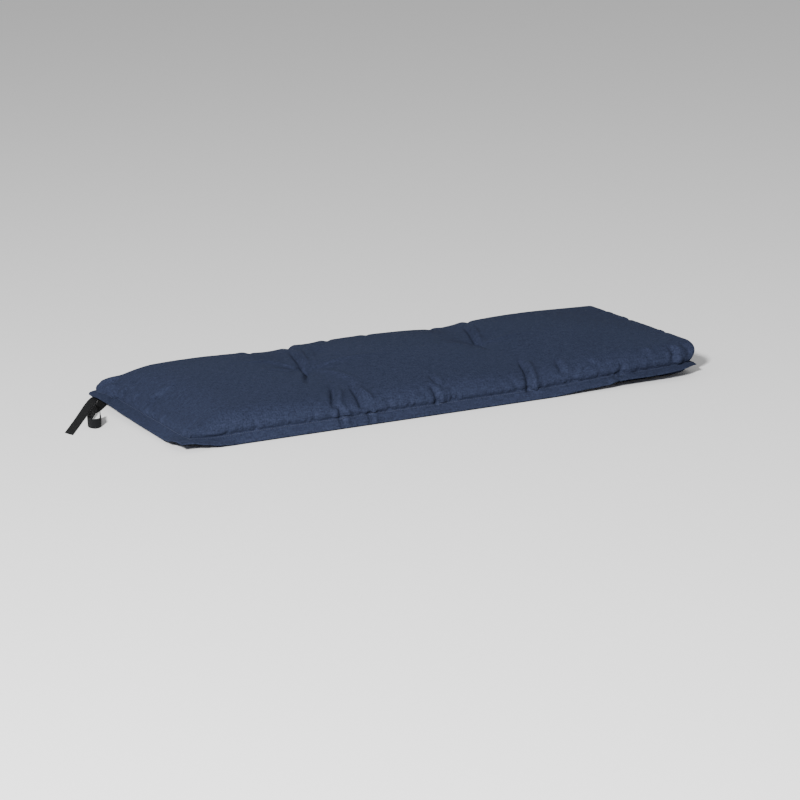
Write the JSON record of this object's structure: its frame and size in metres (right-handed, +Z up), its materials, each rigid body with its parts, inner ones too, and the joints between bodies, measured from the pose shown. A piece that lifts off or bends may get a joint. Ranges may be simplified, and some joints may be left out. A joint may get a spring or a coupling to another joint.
{
  "type": "bench cushion",
  "caption": "Long rectangular bench cushion, a filled pad with a flat stitched border, tufted top and tape ties at the rear corners.",
  "frame": {"origin": "centre of the flat underside, on the surface that the cushion lies on", "axes": "+X along the cushion's length, +Y towards the rear edge that carries the ties, +Z up out of the top"},
  "size_m": [1.3426, 0.6662, 0.0785],
  "materials": {
    "cloth_blue": "plain-woven steel-blue outdoor cloth, matt",
    "tape_charcoal": "flat woven charcoal tape, matt"
  },
  "bodies": {
    "root": {"cushion": "cloth_blue", "tie_left_straight": "tape_charcoal", "tie_left_bent": "tape_charcoal", "tie_right_straight": "tape_charcoal", "tie_right_bent": "tape_charcoal"}
  },
  "joints": []
}
